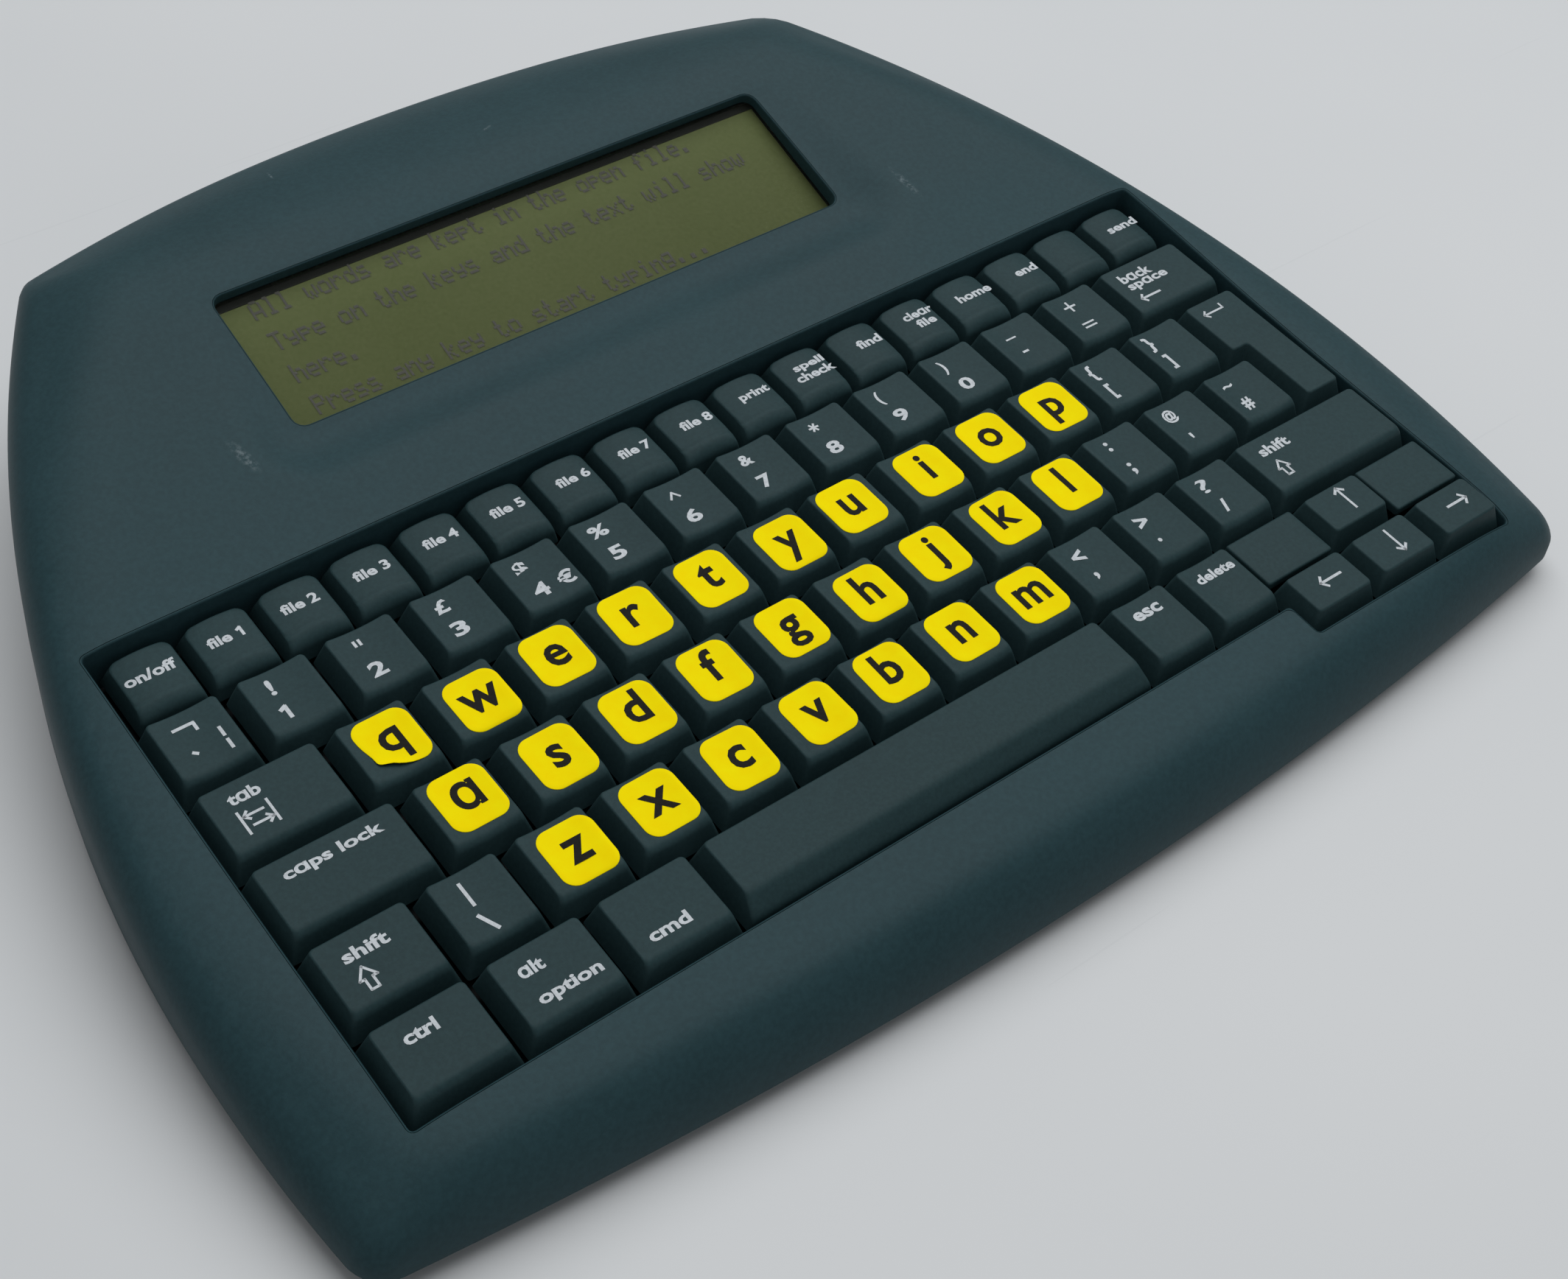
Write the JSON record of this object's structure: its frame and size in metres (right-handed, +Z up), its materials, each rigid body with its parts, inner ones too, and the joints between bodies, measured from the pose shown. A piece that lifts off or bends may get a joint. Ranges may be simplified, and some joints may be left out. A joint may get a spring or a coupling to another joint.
{
  "type": "portable word processor",
  "caption": "Wedge-shaped portable word processor with bowed edges, a full keyboard of sprung keys, a wide shallow sloping display and a sliding battery door underneath.",
  "frame": {"origin": "middle of the case's outline on the surface that its feet stand on", "axes": "+X to the typist's right, +Y from the space bar towards the display, +Z up"},
  "size_m": [0.3166, 0.2474, 0.0507],
  "materials": {
    "case": "fine spark texture",
    "keys": "satin",
    "window": "clear",
    "display": "olive display glass",
    "metal": "plated sheet",
    "board": "solder mask",
    "film": "film",
    "frame": "moulded",
    "domes": "soft",
    "plating": "nickel plated",
    "socket": "moulded",
    "dark_window": "polished",
    "cells": "wrapped",
    "screws": "plated",
    "rubber": "soft"
  },
  "bodies": {
    "case": {"top_shell": "case", "bottom_shell": "case", "display_window": "window", "display_panel": "display", "display_frame": "metal", "display_board": "board", "display_ribbon": "film", "key_frame": "frame", "dome_sheet": "domes", "contact_film": "film", "base_plate": "metal", "main_board": "board", "usb_host_socket": "plating", "usb_device_socket": "plating", "power_socket": "socket", "infrared_window": "dark_window", "battery_cells": "cells", "battery_contacts": "plating", "backup_cell": "plating", "case_screws": "screws", "rubber_feet": "rubber", "key_blanks": "keys"},
    "key_q": {"key_q": "keys"},
    "key_w": {"key_w": "keys"},
    "key_e": {"key_e": "keys"},
    "key_r": {"key_r": "keys"},
    "key_t": {"key_t": "keys"},
    "key_y": {"key_y": "keys"},
    "key_u": {"key_u": "keys"},
    "key_i": {"key_i": "keys"},
    "key_o": {"key_o": "keys"},
    "key_p": {"key_p": "keys"},
    "key_a": {"key_a": "keys"},
    "key_s": {"key_s": "keys"},
    "key_d": {"key_d": "keys"},
    "key_f": {"key_f": "keys"},
    "key_g": {"key_g": "keys"},
    "key_h": {"key_h": "keys"},
    "key_j": {"key_j": "keys"},
    "key_k": {"key_k": "keys"},
    "key_l": {"key_l": "keys"},
    "key_z": {"key_z": "keys"},
    "key_x": {"key_x": "keys"},
    "key_c": {"key_c": "keys"},
    "key_v": {"key_v": "keys"},
    "key_b": {"key_b": "keys"},
    "key_n": {"key_n": "keys"},
    "key_m": {"key_m": "keys"},
    "space_bar": {"space_bar": "keys"},
    "enter_key": {"enter_key": "keys"},
    "backspace_key": {"backspace_key": "keys"},
    "left_shift_key": {"left_shift_key": "keys"},
    "right_shift_key": {"right_shift_key": "keys"},
    "number_keys": {"number_keys": "keys"},
    "function_keys": {"function_keys": "keys"},
    "punctuation_keys": {"punctuation_keys": "keys"},
    "modifier_keys": {"modifier_keys": "keys"},
    "arrow_keys": {"arrow_keys": "keys"},
    "space_bar_wire": {"space_bar_wire": "plating"},
    "battery_door": {"battery_door": "case"}
  },
  "joints": [
    {"name": "key_q_press", "type": "slide", "parent": "case", "child": "key_q", "axis": [0, 0.0872, -0.9962], "range_m": [0, 0.003], "stiffness_N_per_m": 200, "springref_m": -0.002},
    {"name": "key_w_press", "type": "slide", "parent": "case", "child": "key_w", "axis": [0, 0.0872, -0.9962], "range_m": [0, 0.003], "stiffness_N_per_m": 200, "springref_m": -0.002},
    {"name": "key_e_press", "type": "slide", "parent": "case", "child": "key_e", "axis": [0, 0.0872, -0.9962], "range_m": [0, 0.003], "stiffness_N_per_m": 200, "springref_m": -0.002},
    {"name": "key_r_press", "type": "slide", "parent": "case", "child": "key_r", "axis": [0, 0.0872, -0.9962], "range_m": [0, 0.003], "stiffness_N_per_m": 200, "springref_m": -0.002},
    {"name": "key_t_press", "type": "slide", "parent": "case", "child": "key_t", "axis": [0, 0.0872, -0.9962], "range_m": [0, 0.003], "stiffness_N_per_m": 200, "springref_m": -0.002},
    {"name": "key_y_press", "type": "slide", "parent": "case", "child": "key_y", "axis": [0, 0.0872, -0.9962], "range_m": [0, 0.003], "stiffness_N_per_m": 200, "springref_m": -0.002},
    {"name": "key_u_press", "type": "slide", "parent": "case", "child": "key_u", "axis": [0, 0.0872, -0.9962], "range_m": [0, 0.003], "stiffness_N_per_m": 200, "springref_m": -0.002},
    {"name": "key_i_press", "type": "slide", "parent": "case", "child": "key_i", "axis": [0, 0.0872, -0.9962], "range_m": [0, 0.003], "stiffness_N_per_m": 200, "springref_m": -0.002},
    {"name": "key_o_press", "type": "slide", "parent": "case", "child": "key_o", "axis": [0, 0.0872, -0.9962], "range_m": [0, 0.003], "stiffness_N_per_m": 200, "springref_m": -0.002},
    {"name": "key_p_press", "type": "slide", "parent": "case", "child": "key_p", "axis": [0, 0.0872, -0.9962], "range_m": [0, 0.003], "stiffness_N_per_m": 200, "springref_m": -0.002},
    {"name": "key_a_press", "type": "slide", "parent": "case", "child": "key_a", "axis": [0, 0.0872, -0.9962], "range_m": [0, 0.003], "stiffness_N_per_m": 200, "springref_m": -0.002},
    {"name": "key_s_press", "type": "slide", "parent": "case", "child": "key_s", "axis": [0, 0.0872, -0.9962], "range_m": [0, 0.003], "stiffness_N_per_m": 200, "springref_m": -0.002},
    {"name": "key_d_press", "type": "slide", "parent": "case", "child": "key_d", "axis": [0, 0.0872, -0.9962], "range_m": [0, 0.003], "stiffness_N_per_m": 200, "springref_m": -0.002},
    {"name": "key_f_press", "type": "slide", "parent": "case", "child": "key_f", "axis": [0, 0.0872, -0.9962], "range_m": [0, 0.003], "stiffness_N_per_m": 200, "springref_m": -0.002},
    {"name": "key_g_press", "type": "slide", "parent": "case", "child": "key_g", "axis": [0, 0.0872, -0.9962], "range_m": [0, 0.003], "stiffness_N_per_m": 200, "springref_m": -0.002},
    {"name": "key_h_press", "type": "slide", "parent": "case", "child": "key_h", "axis": [0, 0.0872, -0.9962], "range_m": [0, 0.003], "stiffness_N_per_m": 200, "springref_m": -0.002},
    {"name": "key_j_press", "type": "slide", "parent": "case", "child": "key_j", "axis": [0, 0.0872, -0.9962], "range_m": [0, 0.003], "stiffness_N_per_m": 200, "springref_m": -0.002},
    {"name": "key_k_press", "type": "slide", "parent": "case", "child": "key_k", "axis": [0, 0.0872, -0.9962], "range_m": [0, 0.003], "stiffness_N_per_m": 200, "springref_m": -0.002},
    {"name": "key_l_press", "type": "slide", "parent": "case", "child": "key_l", "axis": [0, 0.0872, -0.9962], "range_m": [0, 0.003], "stiffness_N_per_m": 200, "springref_m": -0.002},
    {"name": "key_z_press", "type": "slide", "parent": "case", "child": "key_z", "axis": [0, 0.0872, -0.9962], "range_m": [0, 0.003], "stiffness_N_per_m": 200, "springref_m": -0.002},
    {"name": "key_x_press", "type": "slide", "parent": "case", "child": "key_x", "axis": [0, 0.0872, -0.9962], "range_m": [0, 0.003], "stiffness_N_per_m": 200, "springref_m": -0.002},
    {"name": "key_c_press", "type": "slide", "parent": "case", "child": "key_c", "axis": [0, 0.0872, -0.9962], "range_m": [0, 0.003], "stiffness_N_per_m": 200, "springref_m": -0.002},
    {"name": "key_v_press", "type": "slide", "parent": "case", "child": "key_v", "axis": [0, 0.0872, -0.9962], "range_m": [0, 0.003], "stiffness_N_per_m": 200, "springref_m": -0.002},
    {"name": "key_b_press", "type": "slide", "parent": "case", "child": "key_b", "axis": [0, 0.0872, -0.9962], "range_m": [0, 0.003], "stiffness_N_per_m": 200, "springref_m": -0.002},
    {"name": "key_n_press", "type": "slide", "parent": "case", "child": "key_n", "axis": [0, 0.0872, -0.9962], "range_m": [0, 0.003], "stiffness_N_per_m": 200, "springref_m": -0.002},
    {"name": "key_m_press", "type": "slide", "parent": "case", "child": "key_m", "axis": [0, 0.0872, -0.9962], "range_m": [0, 0.003], "stiffness_N_per_m": 200, "springref_m": -0.002},
    {"name": "space_bar_press", "type": "slide", "parent": "case", "child": "space_bar", "axis": [0, 0.0872, -0.9962], "range_m": [0, 0.003], "stiffness_N_per_m": 200, "springref_m": -0.002},
    {"name": "enter_key_press", "type": "slide", "parent": "case", "child": "enter_key", "axis": [0, 0.0872, -0.9962], "range_m": [0, 0.003], "stiffness_N_per_m": 200, "springref_m": -0.002},
    {"name": "backspace_key_press", "type": "slide", "parent": "case", "child": "backspace_key", "axis": [0, 0.0872, -0.9962], "range_m": [0, 0.003], "stiffness_N_per_m": 200, "springref_m": -0.002},
    {"name": "left_shift_key_press", "type": "slide", "parent": "case", "child": "left_shift_key", "axis": [0, 0.0872, -0.9962], "range_m": [0, 0.003], "stiffness_N_per_m": 200, "springref_m": -0.002},
    {"name": "right_shift_key_press", "type": "slide", "parent": "case", "child": "right_shift_key", "axis": [0, 0.0872, -0.9962], "range_m": [0, 0.003], "stiffness_N_per_m": 200, "springref_m": -0.002},
    {"name": "number_keys_press", "type": "slide", "parent": "case", "child": "number_keys", "axis": [0, 0.0872, -0.9962], "range_m": [0, 0.003], "stiffness_N_per_m": 200, "springref_m": -0.002},
    {"name": "function_keys_press", "type": "slide", "parent": "case", "child": "function_keys", "axis": [0, 0.0872, -0.9962], "range_m": [0, 0.003], "stiffness_N_per_m": 200, "springref_m": -0.002},
    {"name": "punctuation_keys_press", "type": "slide", "parent": "case", "child": "punctuation_keys", "axis": [0, 0.0872, -0.9962], "range_m": [0, 0.003], "stiffness_N_per_m": 200, "springref_m": -0.002},
    {"name": "modifier_keys_press", "type": "slide", "parent": "case", "child": "modifier_keys", "axis": [0, 0.0872, -0.9962], "range_m": [0, 0.003], "stiffness_N_per_m": 200, "springref_m": -0.002},
    {"name": "arrow_keys_press", "type": "slide", "parent": "case", "child": "arrow_keys", "axis": [0, 0.0872, -0.9962], "range_m": [0, 0.003], "stiffness_N_per_m": 200, "springref_m": -0.002},
    {"name": "space_bar_wire_turn", "type": "hinge", "parent": "case", "child": "space_bar_wire", "pos_m": [0, -0.08492, 0.01731], "axis": [1, 0, 0], "range_deg": [0, 24.77]},
    {"name": "battery_door_slide", "type": "slide", "parent": "case", "child": "battery_door", "axis": [0, 1, 0], "range_m": [0, 0.03]}
  ],
  "couplings": [
    {"joint": "space_bar_wire_turn", "follows": "space_bar_press", "rad_per_m": 143.97}
  ]
}
